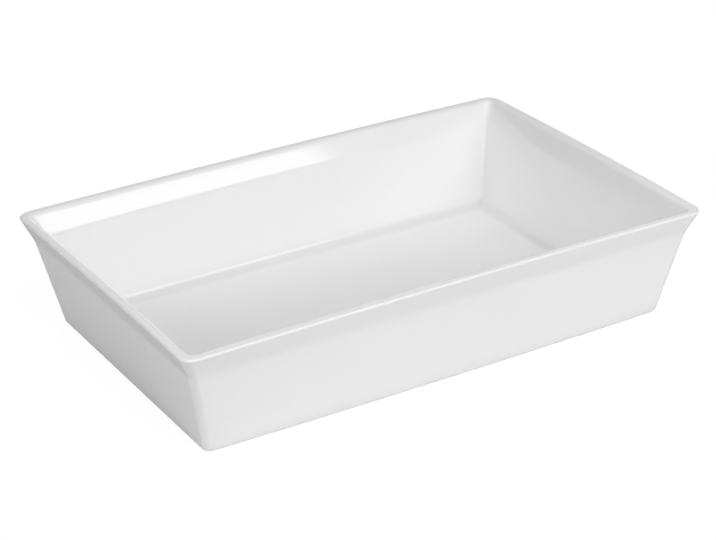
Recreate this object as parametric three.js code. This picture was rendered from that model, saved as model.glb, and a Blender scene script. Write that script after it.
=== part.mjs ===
// Rectangular gratin dish: one fired piece of glazed porcelain, open at the top.
// Millimetres, +Z up, +X along the length, origin at the middle of the face it stands on.
import * as THREE from 'three';

// Overall sizes, over the widest points of the rim
const overallLength = 331;
const overallWidth = 214;
const overallHeight = 68;

// Plan: a rectangle whose corners are roundest at the rim. The long walls swell outwards at the foot,
// and the rim stands higher in the middle of each side than at its corners.
const footCornerRadius = 4.2;
const creaseCornerRadius = 4.5;
const rimCornerRadius = 7.5;
const innerCornerRadius = 3;
const footSwell = 2;
const rimCrown = 1.1;

// Wall: leans out from the foot, and flares further above a soft crease; its inner face leans a little
// more than its outer one, and the lip has a tight round outside, a flat top, and a wider round inside
const wallThickness = 5.5;
const wallLeanDegrees = 11.8;
const innerLeanDegrees = 14.1;
const flareLeanDegrees = 25;
const creaseHeight = 52.2;
const creaseRadius = 25;
const lipRadius = 1;
const lipFlat = 2.2;

// Floor, and the foot ring round the hollow of the underside
const floorThickness = 3.2;
const floorFillet = 7.5;
const footRadius = 2.5;
const footWidth = 6;
const footRecess = 0.4;

// Facets on each round stretch, and along each straight one
const creaseFacets = 4;
const filletFacets = 5;
const lipFacets = 6;
const cornerFacets = 6;
const longSideFacets = 10;
const shortSideFacets = 6;

const porcelain = { name: 'glazed porcelain', color: 0xf1f2f2, roughness: 0.12, metalness: 0 };

const wallLean = THREE.MathUtils.degToRad(wallLeanDegrees);
const innerLean = THREE.MathUtils.degToRad(innerLeanDegrees);
const flareLean = THREE.MathUtils.degToRad(flareLeanDegrees);

// The inner round of the lip takes up what the outer round and the flat leave of the thickness.
const outerShare = lipRadius * (1 + Math.sin(flareLean)) + lipFlat * Math.cos(flareLean);
const innerLipRadius = (wallThickness - outerShare) / (1 - Math.sin(flareLean));

// The wall's section lies in a plane: x is the reach past the rim line, y is the height at the corners.
const cornerHeight = overallHeight - rimCrown;
const floorLevel = footRecess + floorThickness;
const lipCentre = new THREE.Vector2(-lipRadius, cornerHeight - lipRadius);
const innerLipCentre = new THREE.Vector2(-lipRadius - lipFlat, cornerHeight - innerLipRadius);

// Where the straight line through a point, at a lean from upright, is at a height
function pointAlong(point, lean, height) {
  return new THREE.Vector2(point.x + (height - point.y) * Math.tan(lean), height);
}

// Points along a circle from one angle to another, both ends included
function arcPoints(centre, radius, fromAngle, toAngle, facets) {
  const points = [];
  for (let i = 0; i <= facets; i += 1) {
    const angle = THREE.MathUtils.lerp(fromAngle, toAngle, i / facets);
    const spoke = new THREE.Vector2(Math.cos(angle), Math.sin(angle));
    points.push(spoke.multiplyScalar(radius).add(centre));
  }
  return points;
}

// The arc of a radius that rounds off the corner between two straight stretches
function roundedCorner(before, corner, after, radius, facets) {
  const toBefore = before.clone().sub(corner).normalize();
  const toAfter = after.clone().sub(corner).normalize();
  const halfAngle = Math.acos(toBefore.dot(toAfter)) / 2;
  const toCentre = toBefore.clone().add(toAfter).normalize();
  const centre = corner.clone().addScaledVector(toCentre, radius / Math.sin(halfAngle));
  const tangent = radius / Math.tan(halfAngle);
  const start = corner.clone().addScaledVector(toBefore, tangent).sub(centre).angle();
  const end = corner.clone().addScaledVector(toAfter, tangent).sub(centre).angle();
  let turn = end - start;
  if (turn > Math.PI) turn -= 2 * Math.PI;
  if (turn < -Math.PI) turn += 2 * Math.PI;
  return arcPoints(centre, radius, start, start + turn, facets);
}

// The lip: its outer round up to the flat top, then its inner round down to the inner face of the flare
function lipSection() {
  const outer = arcPoints(lipCentre, lipRadius, -flareLean, Math.PI / 2, lipFacets);
  const inner = arcPoints(innerLipCentre, innerLipRadius, Math.PI / 2, Math.PI - flareLean, lipFacets);
  return [...outer, ...inner];
}

// Outer face of the section, from the hollow of the underside up to the lip, as its foot and its crease
function outerSection() {
  const lipStart = lipSection()[0];
  const crease = pointAlong(lipStart, flareLean, creaseHeight);
  const base = pointAlong(crease, wallLean, 0);
  const inward = base.clone().setX(base.x - footWidth);
  const footRound = roundedCorner(inward, base, crease, footRadius, filletFacets);
  const creaseRound = roundedCorner(base, crease, lipStart, creaseRadius, creaseFacets);
  const footInside = footRound[0].clone().setX(footRound[0].x - footWidth);
  const recessEdge = new THREE.Vector2(footInside.x - footRecess, footRecess);
  return { foot: [recessEdge, footInside, ...footRound], crease: creaseRound };
}

// Inner face of the section, from the lip down to the flat floor
function innerSection() {
  const rise = Math.sin((flareLean + wallLean) / 2) / Math.cos((flareLean - wallLean) / 2);
  const lipEnd = lipSection().at(-1);
  const crease = pointAlong(lipEnd, flareLean, creaseHeight + wallThickness * rise);
  const floorEdge = pointAlong(crease, innerLean, floorLevel);
  const inward = floorEdge.clone().setX(floorEdge.x - wallThickness);
  const innerCreaseRadius = creaseRadius + wallThickness;
  return [
    ...roundedCorner(lipEnd, crease, floorEdge, innerCreaseRadius, creaseFacets),
    ...roundedCorner(crease, floorEdge, inward, floorFillet, filletFacets),
  ];
}

// One outline round the dish: a rounded rectangle, counter-clockwise from above, with its swell and crown
function levelRing(reach, height, cornerRadius) {
  const halfLength = overallLength / 2 + reach;
  const halfWidth = overallWidth / 2 + reach;
  const swell = footSwell * (1 - height / cornerHeight);
  const climb = Math.max(height - floorLevel, 0) / (cornerHeight - floorLevel);
  const crown = rimCrown * climb * climb;
  const corners = [[1, 1], [-1, 1], [-1, -1], [1, -1]];
  const arcs = corners.map(([sideX, sideY], quarter) => {
    const centre = new THREE.Vector2(
      sideX * (halfLength - cornerRadius),
      sideY * (halfWidth - cornerRadius),
    );
    const start = quarter * Math.PI / 2;
    return arcPoints(centre, cornerRadius, start, start + Math.PI / 2, cornerFacets);
  });
  const outline = arcs.flatMap((arc, quarter) => {
    const next = arcs[(quarter + 1) % arcs.length][0];
    const facets = quarter % 2 ? shortSideFacets : longSideFacets;
    const side = [];
    for (let i = 1; i < facets; i += 1) {
      side.push(arc.at(-1).clone().lerp(next, i / facets));
    }
    return [...arc, ...side];
  });
  return outline.map(({ x, y }) => {
    const alongX = x / halfLength;
    const alongY = y / halfWidth;
    const offCornerX = 1 - alongX * alongX;
    const offCornerY = 1 - alongY * alongY;
    const lift = crown * (offCornerX * alongY * alongY + offCornerY * alongX * alongX);
    return new THREE.Vector3(x, y + swell * alongY * offCornerX, height + lift);
  });
}

// Closed surface through a stack of like rings, with a flat cap at the first and at the last
function skinRings(rings) {
  const count = rings[0].length;
  const points = rings.flat();
  const index = [];
  for (let level = 0; level + 1 < rings.length; level += 1) {
    for (let i = 0; i < count; i += 1) {
      const a = level * count + i;
      const b = level * count + (i + 1) % count;
      index.push(a, b, b + count, a, b + count, a + count);
    }
  }
  const firstMiddle = points.push(new THREE.Vector3(0, 0, rings[0][0].z)) - 1;
  const lastMiddle = points.push(new THREE.Vector3(0, 0, rings.at(-1)[0].z)) - 1;
  const lastRing = (rings.length - 1) * count;
  for (let i = 0; i < count; i += 1) {
    const next = (i + 1) % count;
    index.push(firstMiddle, next, i);
    index.push(lastMiddle, lastRing + i, lastRing + next);
  }
  const geometry = new THREE.BufferGeometry().setFromPoints(points);
  geometry.setIndex(index);
  geometry.computeVertexNormals();
  return geometry;
}

// The dish: the section carried round the plan, with a corner radius of its own for each stretch
function makeDish() {
  const outer = outerSection();
  const lip = lipSection();
  const inner = innerSection();
  const lipCorner = (i) => THREE.MathUtils.lerp(rimCornerRadius, innerCornerRadius, i / (lip.length - 1));
  const rings = [
    ...outer.foot.map(({ x, y }) => levelRing(x, y, footCornerRadius)),
    ...outer.crease.map(({ x, y }) => levelRing(x, y, creaseCornerRadius)),
    ...lip.map(({ x, y }, i) => levelRing(x, y, lipCorner(i))),
    ...inner.map(({ x, y }) => levelRing(x, y, innerCornerRadius)),
  ];
  const dish = new THREE.Mesh(skinRings(rings), new THREE.MeshStandardMaterial(porcelain));
  dish.name = 'dish';
  return dish;
}

const gratinDish = new THREE.Group();
gratinDish.name = 'rectangular_gratin_dish';
gratinDish.add(makeDish());

export default gratinDish;
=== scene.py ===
import math

import bpy
from mathutils import Matrix, Vector


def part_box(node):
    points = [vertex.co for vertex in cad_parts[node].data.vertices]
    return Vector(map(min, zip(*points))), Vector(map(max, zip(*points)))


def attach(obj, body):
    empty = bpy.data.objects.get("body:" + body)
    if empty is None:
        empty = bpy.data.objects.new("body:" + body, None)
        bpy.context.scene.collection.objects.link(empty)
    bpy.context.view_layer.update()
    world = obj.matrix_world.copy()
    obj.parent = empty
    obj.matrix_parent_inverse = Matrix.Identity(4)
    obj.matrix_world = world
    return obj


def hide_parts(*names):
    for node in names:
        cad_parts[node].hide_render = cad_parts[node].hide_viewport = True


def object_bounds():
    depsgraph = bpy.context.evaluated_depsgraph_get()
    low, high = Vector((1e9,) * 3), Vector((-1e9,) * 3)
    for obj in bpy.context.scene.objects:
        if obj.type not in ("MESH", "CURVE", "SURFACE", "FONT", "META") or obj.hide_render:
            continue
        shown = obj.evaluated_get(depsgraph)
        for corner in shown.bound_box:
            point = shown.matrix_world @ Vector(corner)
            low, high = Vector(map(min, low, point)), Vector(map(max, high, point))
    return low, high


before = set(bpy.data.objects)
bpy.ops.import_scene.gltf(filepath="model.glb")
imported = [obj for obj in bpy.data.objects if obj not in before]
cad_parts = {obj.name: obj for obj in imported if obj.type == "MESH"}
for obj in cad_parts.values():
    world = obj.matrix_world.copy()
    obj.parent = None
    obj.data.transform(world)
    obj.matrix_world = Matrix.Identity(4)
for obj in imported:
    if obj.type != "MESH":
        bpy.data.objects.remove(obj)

cadLow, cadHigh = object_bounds()
mm = 0.001
print("frame loaded:", sorted(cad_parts))


def linear(hexColour):
    # sRGB hex to the linear colour that Blender's sockets take
    channels = [int(hexColour[i:i + 2], 16) / 255 for i in (0, 2, 4)]
    curve = [c / 12.92 if c <= 0.04045 else ((c + 0.055) / 1.055) ** 2.4 for c in channels]
    return (*curve, 1.0)


def addNode(tree, kind, inputs=None, **settings):
    # one node with its settings, socket values and links; an input that is a socket gets linked
    node = tree.nodes.new(kind)
    for name, value in settings.items():
        setattr(node, name, value)
    for socket, value in (inputs or {}).items():
        if isinstance(value, bpy.types.NodeSocket):
            tree.links.new(value, node.inputs[socket])
        else:
            node.inputs[socket].default_value = value
    return node


def direction(azimuth, elevation):
    # unit vector in degrees: azimuth 0 points to the front of the dish, 90 to its right
    turn = math.radians(azimuth)
    lift = math.radians(elevation)
    return Vector((math.sin(turn) * math.cos(lift), -math.cos(turn) * math.cos(lift), math.sin(lift)))


# camera: the view that fits the dish's outline in the 716 x 540 picture
cameraView = {
    "azimuth": -30.51,
    "elevation": 26.12,
    "roll": -1.30,
    "distance": 1241.5,       # mm from the aim
    "aim": (-4.21, -5.73, 33.5),
    "focalLength": 2157.7,    # pixels of the picture
    "pictureWidth": 716,
    "sensorWidth": 36.0,
}


def makeCamera(view):
    back = direction(view["azimuth"], view["elevation"])
    bpy.ops.object.camera_add()
    camera = bpy.context.object
    camera.name = "photoCamera"
    camera.data.sensor_width = view["sensorWidth"]
    camera.data.lens = view["focalLength"] / view["pictureWidth"] * view["sensorWidth"]
    place = Matrix.Translation((Vector(view["aim"]) + back * view["distance"]) * mm)
    facing = (-back).to_track_quat("-Z", "Y").to_matrix().to_4x4()
    camera.matrix_world = place @ facing @ Matrix.Rotation(math.radians(view["roll"]), 4, "Z")
    bpy.context.scene.camera = camera
    print("camera placed, lens", round(camera.data.lens, 1), "mm")


# the dish: section of the wall in mm, with reach counted outwards from the rim's widest line
dishShape = {
    "wallThickness": 5.5,
    "wallLean": 11.8,         # degrees from upright, outside and below the crease
    "innerLean": 14.1,        # the same inside
    "flareLean": 25.0,        # both faces above the crease
    "creaseHeight": 52.2,
    "creaseRadius": 25.0,
    "lipRadius": 1.0,         # outer side; the inner side gets what the thickness leaves
    "lipFlat": 2.2,
    "floorHeight": 3.6,
    "floorFillet": 7.5,
    "footRadius": 2.5,
    "footWidth": 6.0,
    "footRecess": 0.4,
    "footCornerRadius": 4.2,  # corners of the plan, from the foot up and over the lip
    "creaseCornerRadius": 4.5,
    "rimCornerRadius": 7.5,
    "innerCornerRadius": 3.0,
    "footSwell": 2.0,         # the long walls swell outwards at the foot
    "rimCrown": 1.1,          # the rim is higher in the middle of each side than at its corners
    "cornerSteps": 12,        # edges on each round, and cuts on each straight stretch
    "lipSteps": 10,
    "creaseSteps": 6,
    "footSteps": 7,
    "filletSteps": 12,
    "longSideCuts": 31,
    "shortSideCuts": 19,
    "wallCuts": 8,
    "flareCuts": 3,
    "closingShares": (0.97, 0.6, 0.2),  # rings that close the two flat faces, each by the one before
    "cagePoints": 5,          # along each side of the lattice that bends the sides
}


def arcPoints(centre, radius, start, end, steps):
    angles = [start + (end - start) * i / steps for i in range(steps + 1)]
    return [centre + Vector((math.cos(a), math.sin(a))) * radius for a in angles]


def roundCorner(before, corner, after, radius, steps):
    toBefore = (before - corner).normalized()
    toAfter = (after - corner).normalized()
    half = math.acos(toBefore.dot(toAfter)) / 2
    centre = corner + (toBefore + toAfter).normalized() * radius / math.sin(half)
    reach = radius / math.tan(half)
    first = corner + toBefore * reach - centre
    last = corner + toAfter * reach - centre
    start = math.atan2(first.y, first.x)
    turn = math.remainder(math.atan2(last.y, last.x) - start, 2 * math.pi)
    return arcPoints(centre, radius, start, start + turn, steps)


def joinStretches(stretches):
    # (points, corner radius at their two ends, cuts in the gap after them) become one list of
    # (reach, height, corner radius)
    section = []
    cuts = 0
    for points, fromCorner, toCorner, cutsAfter in stretches:
        last = max(len(points) - 1, 1)
        corners = [fromCorner + (toCorner - fromCorner) * i / last for i in range(len(points))]
        stretch = [Vector((point.x, point.y, corner)) for point, corner in zip(points, corners)]
        if section:
            gapStart = section[-1]
            section += [gapStart.lerp(stretch[0], i / (cuts + 1)) for i in range(1, cuts + 1)]
        section += stretch
        cuts = cutsAfter
    return section


def wallSection(shape, height):
    # points from the top of the lip: down the outside to the hollow under the foot, and down the
    # inside to the floor
    wall = math.radians(shape["wallLean"])
    flare = math.radians(shape["flareLean"])
    thick = shape["wallThickness"]
    lipRadius, lipFlat = shape["lipRadius"], shape["lipFlat"]
    outerShare = lipRadius * (1 + math.sin(flare)) + lipFlat * math.cos(flare)
    innerLipRadius = (thick - outerShare) / (1 - math.sin(flare))
    lip = Vector((-lipRadius, height - lipRadius))
    innerLip = Vector((-lipRadius - lipFlat, height - innerLipRadius))

    def along(point, lean, z):
        # where the straight line through a point, at a lean from upright, is at height z
        return Vector((point.x + (z - point.y) * math.tan(lean), z))

    lipOut = arcPoints(lip, lipRadius, math.pi / 2, -flare, shape["lipSteps"])
    lipIn = arcPoints(innerLip, innerLipRadius, math.pi / 2, math.pi - flare, shape["lipSteps"])
    crease = along(lipOut[-1], flare, shape["creaseHeight"])
    base = along(crease, wall, 0)
    rise = thick * math.sin((flare + wall) / 2) / math.cos((flare - wall) / 2)
    innerCrease = along(lipIn[-1], flare, shape["creaseHeight"] + rise)
    floorEdge = along(innerCrease, math.radians(shape["innerLean"]), shape["floorHeight"])
    sideways = Vector((2 * thick, 0))

    creaseSteps, creaseRadius = shape["creaseSteps"], shape["creaseRadius"]
    creaseOut = roundCorner(lipOut[-1], crease, base, creaseRadius, creaseSteps)
    foot = roundCorner(crease, base, base - sideways, shape["footRadius"], shape["footSteps"])
    footInside = foot[-1] - Vector((shape["footWidth"], 0))
    hollowEdge = footInside + Vector((-shape["footRecess"], shape["footRecess"]))
    creaseIn = roundCorner(lipIn[-1], innerCrease, floorEdge, creaseRadius + thick, creaseSteps)
    floorRound = roundCorner(
        innerCrease, floorEdge, floorEdge - sideways, shape["floorFillet"], shape["filletSteps"],
    )
    rimCorner, inCorner = shape["rimCornerRadius"], shape["innerCornerRadius"]
    creaseCorner, footCorner = shape["creaseCornerRadius"], shape["footCornerRadius"]
    outside = joinStretches([
        (lipOut, rimCorner, rimCorner, shape["flareCuts"]),
        (creaseOut, creaseCorner, creaseCorner, shape["wallCuts"]),
        ([*foot, footInside, hollowEdge], footCorner, footCorner, 0),
    ])
    inside = joinStretches([
        ([lipOut[0], *lipIn], rimCorner, inCorner, shape["flareCuts"]),
        (creaseIn, inCorner, inCorner, shape["wallCuts"]),
        (floorRound, inCorner, inCorner, 0),
    ])
    return outside, inside


def selectVertices(piece, test):
    # edit mode with only the vertices that pass the test selected
    bpy.ops.object.mode_set(mode="EDIT")
    bpy.ops.mesh.select_mode(type="VERT")
    bpy.ops.mesh.select_all(action="DESELECT")
    bpy.ops.object.mode_set(mode="OBJECT")
    for vertex in piece.data.vertices:
        vertex.select = test(vertex)
    bpy.ops.object.mode_set(mode="EDIT")


def resizeCorners(piece, halfX, halfY, radius, stretch):
    # each round corner of the selected ring is scaled about the sharp corner that it replaces
    bpy.ops.object.mode_set(mode="OBJECT")
    ring = {vertex.index: vertex.co.copy() for vertex in piece.data.vertices if vertex.select}
    slack = 1.02
    for sideX, sideY in ((1, 1), (-1, 1), (-1, -1), (1, -1)):
        corner = {
            index for index, co in ring.items()
            if halfX - co.x * sideX < radius[0] * slack and halfY - co.y * sideY < radius[1] * slack
        }
        selectVertices(piece, lambda vertex: vertex.index in corner)
        bpy.ops.transform.resize(value=(*stretch, 1), center_override=(sideX * halfX, sideY * halfY, 0))
    selectVertices(piece, lambda vertex: vertex.index in ring)


def drawWall(piece, section, halfLength, halfWidth):
    # the selected ring, at the first point, is drawn out along the rest of the section
    leastChange = 0.02        # a corner whose radius is off by a smaller share is left as it is
    before = section[0]
    radius = [before.z * mm, before.z * mm]
    for point in section[1:]:
        bpy.ops.mesh.extrude_edges_move(TRANSFORM_OT_translate={"value": (0, 0, (point.y - before.y) * mm)})
        stretch = [(half + point.x) / (half + before.x) for half in (halfLength, halfWidth)]
        bpy.ops.transform.resize(value=(*stretch, 1), center_override=(0, 0, 0))
        radius = [r * s for r, s in zip(radius, stretch)]
        change = [point.z * mm / r for r in radius]
        if max(abs(c - 1) for c in change) > leastChange:
            resizeCorners(piece, (halfLength + point.x) * mm, (halfWidth + point.x) * mm, radius, change)
            radius = [point.z * mm, point.z * mm]
        before = point


def swellSides(dish, shape, size):
    # a lattice cage round the dish bends its sides: out at the foot, and up along the rim
    bpy.ops.object.select_all(action="DESELECT")
    bpy.ops.object.add(type="LATTICE", location=(0, 0, 0))
    cage = bpy.context.object
    grid = cage.data
    grid.points_u = grid.points_v = grid.points_w = shape["cagePoints"]
    grid.interpolation_type_u = grid.interpolation_type_v = grid.interpolation_type_w = "KEY_CATMULL_ROM"
    low, high = grid.points[0].co.copy(), grid.points[-1].co.copy()
    height = size.z - shape["rimCrown"]
    box = Vector((size.x, size.y, height)) * mm
    cage.scale = [side / (to - start) for side, to, start in zip(box, high, low)]
    cage.location = (0, 0, box.z / 2)
    for point in grid.points:
        x, y, z = ((at - start) / (to - start) for at, to, start in zip(point.co, high, low))
        x, y = 2 * x - 1, 2 * y - 1
        swell = shape["footSwell"] * (1 - z) * (1 - x * x) * y
        lift = shape["rimCrown"] * z * z * ((1 - x * x) * y * y + (1 - y * y) * x * x)
        point.co_deform = point.co + Vector((0, swell * mm / cage.scale.y, lift * mm / cage.scale.z))
    dish.select_set(True)
    bpy.context.view_layer.objects.active = dish
    bend = dish.modifiers.new("sideSwell", "LATTICE")
    bend.object = cage
    bpy.ops.object.modifier_apply(modifier=bend.name)
    bpy.data.objects.remove(cage)


def makeDish(shape):
    low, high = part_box("dish")
    size = (high - low) / mm
    height = size.z - shape["rimCrown"]
    halfLength = size.x / 2
    halfWidth = size.y / 2
    outside, inside = wallSection(shape, height)

    bpy.ops.object.select_all(action="DESELECT")
    bpy.ops.mesh.primitive_plane_add(size=2, location=(0, 0, 0))
    dish = bpy.context.object
    dish.name = "glazedDish"
    bpy.ops.object.mode_set(mode="EDIT")
    rimX = (halfLength + outside[0].x) * mm
    rimY = (halfWidth + outside[0].x) * mm
    bpy.ops.transform.resize(value=(rimX, rimY, 1), center_override=(0, 0, 0))
    bpy.ops.transform.translate(value=(0, 0, height * mm))
    bpy.ops.mesh.bevel(
        offset=shape["rimCornerRadius"] * mm, segments=shape["cornerSteps"], affect="VERTICES",
    )
    bpy.ops.mesh.select_all(action="SELECT")
    bpy.ops.mesh.delete(type="ONLY_FACE")
    straight = 1e-6
    for axis, edgeAt, cuts in ((1, rimY, shape["longSideCuts"]), (0, rimX, shape["shortSideCuts"])):
        selectVertices(dish, lambda vertex: abs(abs(vertex.co[axis]) - edgeAt) < straight)
        bpy.ops.mesh.subdivide(number_cuts=cuts)
    for section in (outside, inside):
        selectVertices(dish, lambda vertex: vertex.co.z > height * mm - straight)
        drawWall(dish, section, halfLength, halfWidth)
        # the last ring closes towards the middle of the flat face
        for share in shape["closingShares"]:
            bpy.ops.mesh.extrude_edges_move()
            bpy.ops.transform.resize(value=(share, share, 1), center_override=(0, 0, 0))
        bpy.ops.mesh.edge_face_add()
    bpy.ops.mesh.select_all(action="SELECT")
    bpy.ops.mesh.normals_make_consistent(inside=False)
    bpy.ops.object.mode_set(mode="OBJECT")
    swellSides(dish, shape, size)
    bpy.ops.object.shade_smooth()
    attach(dish, "root")
    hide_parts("dish")
    print("dish modelled:", len(dish.data.polygons), "faces")
    return dish


# the glaze: clear and glossy over a near-white body; greyer along the floor's edge and in the upright
# corners, partly as pooled glaze and partly as painted shade, and thinner on the lip; sizes in mm
glazeLook = {
    "colour": "f2f2f2",
    "cloudColour": "f0f0f0",
    "cloudSize": 45,
    # a greyer glaze along the floor's fillet and in the upright corners: painted shade, partly pooled glaze
    "shadeAndPoolColour": "e1e1e2",
    "shadeAndPoolShare": 0.65,
    "shadeAndPoolNear": 1.0,        # from the middle of the floor's fillet
    "shadeAndPoolFar": 6.0,
    "cornerShadeAndPoolShare": 0.15,
    "cornerShadeAndPoolNear": 1.0,        # from an upright inner corner
    "lipColour": "efeeed",
    "lipShare": 0.4,
    "lipDepth": 1.5,
    "roughness": 0.05,
    "roughnessSpread": 0.02,
    "ior": 1.52,
    "rippleSize": 2.4,
    "rippleHeight": 0.0012,
    "swellSize": 28,
    "swellHeight": 0.012,
    "pinholeSpacing": 20,
    "pinholeRadius": 0.2,
    "pinholeDepth": 0.05,
    "pinholeColour": "dcd8d2",
}
# the biscuit: bare fired body on the ring that the dish stands on, wiped clean of glaze
biscuitLook = {
    "colour": "e6dfd2",
    "speckColour": "cfc4b2",
    "speckSize": 0.8,
    "roughness": 0.85,
    "grainHeight": 0.03,
}


def fade(value, near, far):
    # 1 up to near, 0 from far on, and smooth between them
    share = min(max((far - value) / (far - near), 0), 1)
    return share * share * (3 - 2 * share)


def markPaintedShadeAndPooling(dish, shape, look):
    # a number on each vertex says how much painted shade, partly pooled glaze, greys it there
    low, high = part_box("dish")
    halfLength, halfWidth = (high.x - low.x) / mm / 2, (high.y - low.y) / mm / 2
    height = (high.z - low.z) / mm - shape["rimCrown"]
    filletPoints = wallSection(shape, height)[1][-shape["filletSteps"] - 1:]
    middle = filletPoints[len(filletPoints) // 2]
    pooledAndShaded = []
    for vertex in dish.data.vertices:
        x, y, z = (abs(c) / mm for c in vertex.co)
        pastX = x - halfLength
        pastY = y - halfWidth - shape["footSwell"] * (1 - z / height) * (1 - (x / halfLength) ** 2)
        share = 0
        # painted shade along the floor's fillet, partly pooled glaze
        if z > shape["floorHeight"] - shape["footRecess"]:
            away = math.hypot(max(pastX, pastY) - middle.x, z - middle.y)
            share = fade(away, look["shadeAndPoolNear"], look["shadeAndPoolFar"])
        facesIn = vertex.normal.xy.dot(vertex.co.xy) < 0
        # painted shade in the upright inner corners, partly pooled glaze
        if facesIn and filletPoints[0].y < z < shape["creaseHeight"]:
            nearCorner = fade(abs(pastX - pastY), look["cornerShadeAndPoolNear"], 2 * shape["innerCornerRadius"])
            upright = fade(z, shape["creaseHeight"] / 2, shape["creaseHeight"])
            share = max(share, look["cornerShadeAndPoolShare"] * nearCorner * upright)
        pooledAndShaded.append(share)
    dish.data.attributes.new("paintedShadeAndPooling", "FLOAT", "POINT").data.foreach_set("value", pooledAndShaded)
    print("pooled glaze marked")


def makeGlaze(look, height):
    glaze = bpy.data.materials.new("glazedPorcelain")
    glaze.use_nodes = True
    tree = glaze.node_tree
    shader = tree.nodes["Principled BSDF"]
    place = addNode(tree, "ShaderNodeTexCoord").outputs["Object"]

    # wide faint clouds in the white, as the glaze varies in thickness; 6 and 7 are a Mix node's two colours
    clouds = addNode(tree, "ShaderNodeTexNoise", {"Vector": place, "Scale": 1 / (look["cloudSize"] * mm)})
    body = addNode(tree, "ShaderNodeMix", {
        0: clouds.outputs[0], 6: linear(look["colour"]), 7: linear(look["cloudColour"]),
    }, data_type="RGBA")
    # greyer along the floor's fillet and in the upright corners: painted shade, partly pooled glaze
    pooledAndShaded = addNode(tree, "ShaderNodeAttribute", attribute_name="paintedShadeAndPooling")
    shadeAndPoolShare = addNode(tree, "ShaderNodeMath", {
        0: pooledAndShaded.outputs["Fac"], 1: look["shadeAndPoolShare"],
    }, operation="MULTIPLY")
    body = addNode(tree, "ShaderNodeMix", {
        0: shadeAndPoolShare.outputs[0], 6: body.outputs[2], 7: linear(look["shadeAndPoolColour"]),
    }, data_type="RGBA")
    # warmer on the lip, where the body shows through
    level = addNode(tree, "ShaderNodeSeparateXYZ", {0: place}).outputs["Z"]
    lip = addNode(tree, "ShaderNodeMapRange", {
        "Value": level, "From Min": (height - look["lipDepth"]) * mm, "From Max": height * mm,
        "To Max": look["lipShare"],
    }, interpolation_type="SMOOTHSTEP")
    body = addNode(tree, "ShaderNodeMix", {
        0: lip.outputs[0], 6: body.outputs[2], 7: linear(look["lipColour"]),
    }, data_type="RGBA")
    # a few pinholes, left by gas in the firing
    cells = addNode(tree, "ShaderNodeTexVoronoi", {
        "Vector": place, "Scale": 1 / (look["pinholeSpacing"] * mm),
    })
    holeReach = look["pinholeRadius"] / look["pinholeSpacing"]
    holes = addNode(tree, "ShaderNodeMapRange", {
        "Value": cells.outputs["Distance"], "From Min": holeReach, "From Max": holeReach / 2,
    }, interpolation_type="SMOOTHSTEP")
    body = addNode(tree, "ShaderNodeMix", {
        0: holes.outputs[0], 6: body.outputs[2], 7: linear(look["pinholeColour"]),
    }, data_type="RGBA")
    tree.links.new(body.outputs[2], shader.inputs["Base Color"])

    # fine ripples and a slow swell: mirrored edges waver a little, as on a dipped glaze
    ripples = addNode(tree, "ShaderNodeTexNoise", {"Vector": place, "Scale": 1 / (look["rippleSize"] * mm)})
    swell = addNode(tree, "ShaderNodeTexNoise", {
        "Vector": place, "Scale": 1 / (look["swellSize"] * mm), "Detail": 0,
    })
    relief = addNode(tree, "ShaderNodeMath", {
        0: swell.outputs[0], 1: look["swellHeight"],
    }, operation="MULTIPLY")
    for pattern, lift in ((ripples, look["rippleHeight"]), (holes, -look["pinholeDepth"])):
        relief = addNode(tree, "ShaderNodeMath", {
            0: pattern.outputs[0], 1: lift, 2: relief.outputs[0],
        }, operation="MULTIPLY_ADD")
    bump = addNode(tree, "ShaderNodeBump", {"Height": relief.outputs[0], "Strength": 1, "Distance": mm})
    tree.links.new(bump.outputs[0], shader.inputs["Normal"])
    # gloss varies slightly with the clouds
    gloss = addNode(tree, "ShaderNodeMath", {
        0: clouds.outputs[0], 1: look["roughnessSpread"], 2: look["roughness"],
    }, operation="MULTIPLY_ADD")
    tree.links.new(gloss.outputs[0], shader.inputs["Roughness"])
    shader.inputs["IOR"].default_value = look["ior"]
    print("glaze made")
    return glaze


def makeBiscuit(look):
    # dry and grainy, with specks of sand: no shine at all beside the glaze
    biscuit = bpy.data.materials.new("unglazedBiscuit")
    biscuit.use_nodes = True
    tree = biscuit.node_tree
    shader = tree.nodes["Principled BSDF"]
    place = addNode(tree, "ShaderNodeTexCoord").outputs["Object"]
    grain = addNode(tree, "ShaderNodeTexNoise", {
        "Vector": place, "Scale": 1 / (look["speckSize"] * mm), "Detail": 4,
    })
    body = addNode(tree, "ShaderNodeMix", {
        0: grain.outputs[0], 6: linear(look["colour"]), 7: linear(look["speckColour"]),
    }, data_type="RGBA")
    bump = addNode(tree, "ShaderNodeBump", {
        "Height": grain.outputs[0], "Strength": 1, "Distance": look["grainHeight"] * mm,
    })
    tree.links.new(body.outputs[2], shader.inputs["Base Color"])
    tree.links.new(bump.outputs[0], shader.inputs["Normal"])
    shader.inputs["Roughness"].default_value = look["roughness"]
    print("biscuit made")
    return biscuit


def bareFoot(dish):
    # the second slot goes on the flat ring that touches the table
    ringLevel = 0.01 * mm
    for face in dish.data.polygons:
        if face.center.z < ringLevel:
            face.material_index = 1


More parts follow.
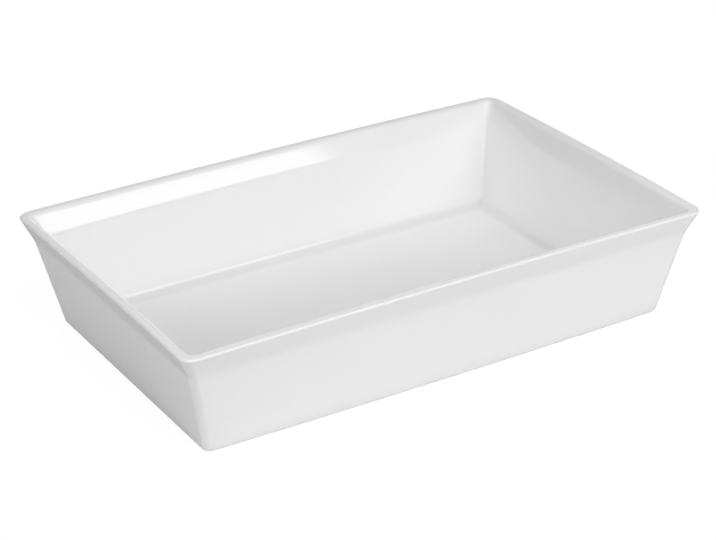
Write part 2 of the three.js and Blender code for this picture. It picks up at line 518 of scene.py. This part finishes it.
# studio: soft boxes that face the dish, sizes in mm; one with "mirrored" shows in the glaze
lampAim = 30                  # height of the point that all lamps face
studioLamps = {
    "windowStrip": {
        "azimuth": 21.2, "elevation": 22.2, "distance": 4000,
        "size": (1130, 1100), "power": 15.5, "mirrored": True,
    },
    "frontSoftbox": {
        "azimuth": 10, "elevation": 41, "distance": 1215,
        "size": (1000, 1100), "power": 8.4, "mirrored": False,
    },
    "leftFill": {
        "azimuth": 268, "elevation": 27, "distance": 1600,
        "size": (900, 900), "power": 8.4, "mirrored": False,
    },
    "backFill": {
        "azimuth": 148, "elevation": 16, "distance": 1600,
        "size": (1000, 600), "power": 15.5, "mirrored": False,
    },
    "rightFill": {
        "azimuth": 60, "elevation": 40, "distance": 1600,
        "size": (900, 900), "power": 1.3, "mirrored": False,
    },
    "topFill": {
        "azimuth": 340, "elevation": 65, "distance": 1600,
        "size": (800, 800), "power": 6.8, "mirrored": False,
    },
}
floorPaint = {"size": 12000, "colour": "f4f4f4", "glow": 0.94, "lamplit": 0.1}
# what only reflections see: a grey mat round the foot, the dark room, the white paper behind the dish,
# and a doorway in front of it that shows in the upright inner corner
matCard = {"size": 2400, "height": 0.2, "glow": 0.3}
roomDome = {"radius": 4500, "glow": 0.1}
uprightCards = {
    "whitePaper": {"azimuth": 164, "distance": 3000, "width": 1500, "height": 950, "glow": 1},
    "brightDoorway": {"azimuth": -22, "distance": 3000, "width": 3400, "height": 1700, "glow": 2.5},
}


def makeLamps(lamps):
    for name, lamp in lamps.items():
        away = direction(lamp["azimuth"], lamp["elevation"])
        place = Vector((0, 0, lampAim)) + away * lamp["distance"]
        facing = away.to_track_quat("Z", "Y").to_euler()
        bpy.ops.object.light_add(type="AREA", location=place * mm, rotation=facing)
        light = bpy.context.object
        light.name = name
        light.data.shape = "RECTANGLE"
        light.data.size = lamp["size"][0] * mm
        light.data.size_y = lamp["size"][1] * mm
        light.data.energy = lamp["power"]
        light.visible_glossy = lamp["mirrored"]
    print("lamps placed:", len(lamps))


def whereSeen(tree):
    # 1 on rays from the camera, and on those that a reflection or clear glass passes on; else 0
    lightPath = addNode(tree, "ShaderNodeLightPath")
    seen = lightPath.outputs["Is Camera Ray"]
    for ray in ("Is Glossy Ray", "Is Transmission Ray"):
        both = addNode(tree, "ShaderNodeMath", {0: seen, 1: lightPath.outputs[ray]}, operation="ADD")
        seen = both.outputs[0]
    return seen


def makeFloor(paint):
    # white where the camera or a reflection sees it, with a share of lamplight that keeps the dish's shadow
    bpy.ops.object.select_all(action="DESELECT")
    bpy.ops.mesh.primitive_plane_add(size=paint["size"] * mm, location=(0, 0, 0))
    floor = bpy.context.object
    floor.name = "paleFloor"
    matt = bpy.data.materials.new("mattWhitePaint")
    matt.use_nodes = True
    tree = matt.node_tree
    tree.nodes.clear()
    lit = addNode(tree, "ShaderNodeBsdfDiffuse", {"Color": linear(paint["colour"])})
    dark = addNode(tree, "ShaderNodeBsdfDiffuse", {"Color": (0, 0, 0, 1)})
    faint = addNode(tree, "ShaderNodeMixShader", {
        0: paint["lamplit"], 1: dark.outputs[0], 2: lit.outputs[0],
    })
    glow = addNode(tree, "ShaderNodeEmission", {"Strength": paint["glow"]})
    white = addNode(tree, "ShaderNodeAddShader", {0: faint.outputs[0], 1: glow.outputs[0]})
    shown = addNode(tree, "ShaderNodeMixShader", {
        0: whereSeen(tree), 1: lit.outputs[0], 2: white.outputs[0],
    })
    addNode(tree, "ShaderNodeOutputMaterial", {"Surface": shown.outputs[0]})
    floor.data.materials.append(matt)
    print("floor laid")


def showInReflectionsOnly(card, glow):
    # an even glow that lights nothing and hides from the camera: the glaze mirrors it, and so looks glossy
    card.visible_camera = False
    card.visible_diffuse = False
    card.visible_shadow = False
    card.visible_transmission = False
    paint = bpy.data.materials.new(card.name + "Paint")
    paint.use_nodes = True
    tree = paint.node_tree
    tree.nodes.clear()
    grey = addNode(tree, "ShaderNodeEmission", {"Strength": glow})
    addNode(tree, "ShaderNodeOutputMaterial", {"Surface": grey.outputs[0]})
    card.data.materials.append(paint)


def makeCards(mat, room, uprights):
    bpy.ops.object.select_all(action="DESELECT")
    bpy.ops.mesh.primitive_plane_add(size=mat["size"] * mm, location=(0, 0, mat["height"] * mm))
    bpy.context.object.name = "greyMat"
    showInReflectionsOnly(bpy.context.object, mat["glow"])

    bpy.ops.mesh.primitive_uv_sphere_add(radius=room["radius"] * mm, location=(0, 0, 0))
    bpy.context.object.name = "darkRoom"
    showInReflectionsOnly(bpy.context.object, room["glow"])

    for name, card in uprights.items():
        away = direction(card["azimuth"], 0)
        place = away * card["distance"] + Vector((0, 0, card["height"] / 2))
        bpy.ops.mesh.primitive_plane_add(
            size=1, location=place * mm, rotation=away.to_track_quat("Z", "Y").to_euler(),
        )
        bpy.context.object.name = name
        bpy.context.object.scale = (card["width"] * mm, card["height"] * mm, 1)
        showInReflectionsOnly(bpy.context.object, card["glow"])
    print("cards placed")


def makeSky():
    # a white surround for the camera and for reflections, which sheds no light of its own
    world = bpy.data.worlds.new("whiteSurround")
    world.use_nodes = True
    tree = world.node_tree
    tree.nodes["Background"].inputs["Color"].default_value = (1, 1, 1, 1)
    tree.links.new(whereSeen(tree), tree.nodes["Background"].inputs["Strength"])
    bpy.context.scene.world = world
    print("surround set")


makeCamera(cameraView)
dish = makeDish(dishShape)
markPaintedShadeAndPooling(dish, dishShape, glazeLook)
dish.data.materials.append(makeGlaze(glazeLook, (cadHigh[2] - cadLow[2]) / mm))
dish.data.materials.append(makeBiscuit(biscuitLook))
bareFoot(dish)
makeLamps(studioLamps)
makeFloor(floorPaint)
makeCards(matCard, roomDome, uprightCards)
makeSky()
bpy.context.scene.view_settings.view_transform = "Standard"
